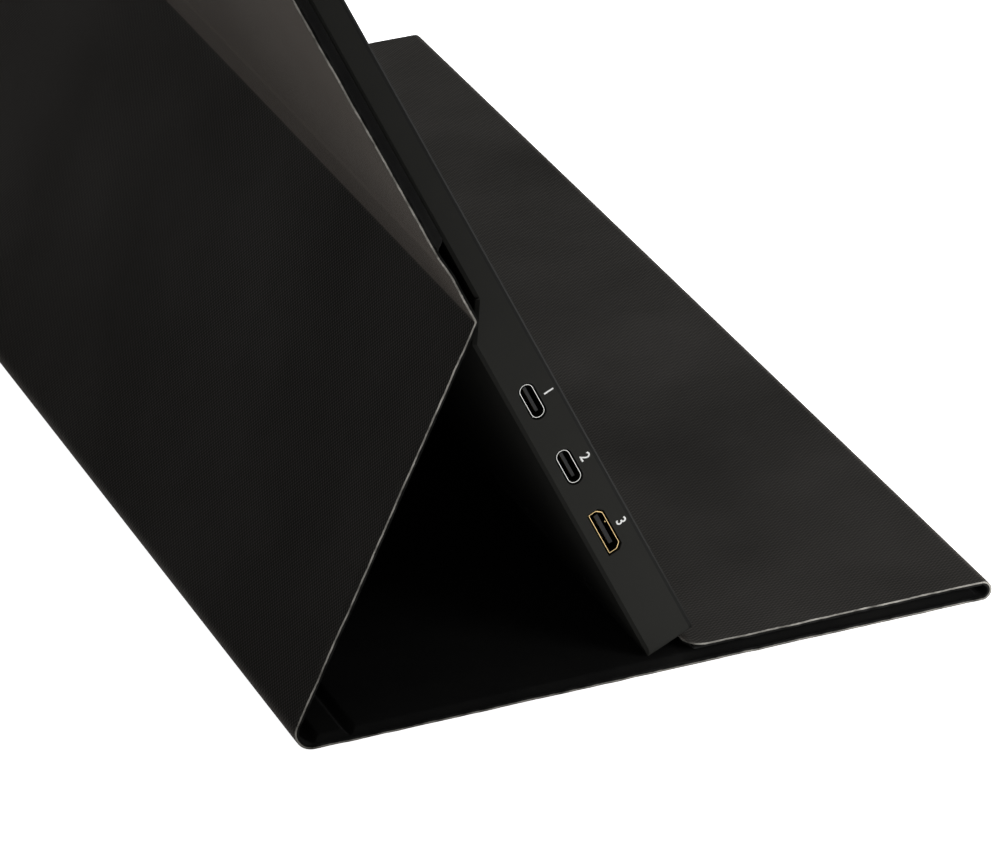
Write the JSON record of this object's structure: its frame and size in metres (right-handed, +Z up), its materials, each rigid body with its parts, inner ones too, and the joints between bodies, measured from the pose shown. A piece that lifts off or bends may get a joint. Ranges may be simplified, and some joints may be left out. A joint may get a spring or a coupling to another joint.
{
  "type": "portable monitor with folding cover",
  "caption": "Slim portable monitor with a stepped rear housing, standing in a folding book cover whose leg panel props it up and whose flap folds back over the base.",
  "frame": {"origin": "middle of the base panel's underside, on the surface it stands on", "axes": "+X along the screen's width to the user's right, the screen faces -Y, +Z up"},
  "size_m": [0.357, 0.1705, 0.2054],
  "materials": {
    "housing_plastic": "moulded black plastic, fine satin texture",
    "bezel_plastic": "moulded black plastic, satin",
    "screen_glass": "dark anti-glare screen surface",
    "film": "white diffusing film",
    "clear_plastic": "clear acrylic",
    "led": "light bar",
    "sheet_metal": "pressed sheet",
    "circuit_board": "lacquered circuit board",
    "socket_steel": "drawn steel shell",
    "socket_black": "moulded insulator",
    "socket_gold": "gilded steel shell",
    "button_plastic": "moulded black plastic",
    "flat_cable": "amber flat cable",
    "screw_steel": "plated steel",
    "magnet": "nickel-plated magnet",
    "cover_skin": "cross-hatched embossed imitation leather, black",
    "cover_lining": "black brushed microfibre",
    "cover_fold": "imitation leather, unboarded and free to bend",
    "stiffener": "pressed fibre board"
  },
  "bodies": {
    "base": {"base_skin": "cover_skin", "base_board": "stiffener", "spine_board": "stiffener", "base_lining": "cover_lining", "rear_fold_strip": "cover_fold", "front_fold_strip": "cover_fold"},
    "flap": {"flap_skin": "cover_skin", "flap_board": "stiffener", "flap_lining": "cover_lining", "flap_magnets": "magnet"},
    "leg": {"leg_skin": "cover_skin", "leg_board": "stiffener", "leg_lining": "cover_lining"},
    "power_button": {"power_button": "button_plastic"},
    "menu_rocker": {"menu_rocker": "button_plastic"},
    "monitor": {"rear_housing": "housing_plastic", "front_bezel": "bezel_plastic", "lcd_glass": "screen_glass", "diffuser_films": "film", "light_guide": "clear_plastic", "led_strip": "led", "backlight_tray": "sheet_metal", "main_board": "circuit_board", "oval_socket_shells": "socket_steel", "oval_socket_tongues": "socket_black", "wide_socket_shell": "socket_gold", "wide_socket_tongue": "socket_black", "headphone_jack": "socket_black", "rocker_bracket": "socket_black", "button_board": "circuit_board", "power_switch": "sheet_metal", "speakers": "socket_black", "panel_cable": "flat_cable", "board_screws": "screw_steel", "case_screws": "screw_steel", "holding_plates": "screw_steel", "upper_skin": "cover_skin", "upper_board": "stiffener", "upper_lining": "cover_lining", "upper_magnets": "magnet", "apex_fold_strip": "cover_fold"}
  },
  "joints": [
    {"name": "rear_fold", "type": "hinge", "parent": "base", "child": "leg", "pos_m": [0, 0.0825, 0.00197], "axis": [-1, 0, 0], "range_deg": [0, 117.5], "deforming": ["rear_fold_strip"]},
    {"name": "apex_fold", "type": "hinge", "parent": "leg", "child": "monitor", "pos_m": [0, 0.03953, 0.0877], "axis": [1, 0, 0], "range_deg": [0, 51.8], "deforming": ["apex_fold_strip"]},
    {"name": "flap_fold", "type": "hinge", "parent": "base", "child": "flap", "pos_m": [0, -0.08346, 0.00235], "axis": [1, 0, 0], "range_deg": [0, 180], "deforming": ["front_fold_strip"]},
    {"name": "power_press", "type": "slide", "parent": "monitor", "child": "power_button", "axis": [-1, 0, 0], "range_m": [0, 0.0004], "stiffness_N_per_m": 1500, "springref_m": -0.0003},
    {"name": "menu_rock", "type": "hinge", "parent": "monitor", "child": "menu_rocker", "pos_m": [0.171, 0.01619, 0.05326], "axis": [0, 0.9114, -0.4115], "range_deg": [-4, 4], "stiffness_Nm_per_rad": 0.06}
  ],
  "couplings": [
    {"joint": "apex_fold", "follows": "rear_fold", "ratio": 0.44084},
    {"joint": "flap_fold", "follows": "rear_fold", "ratio": 1.5319}
  ]
}
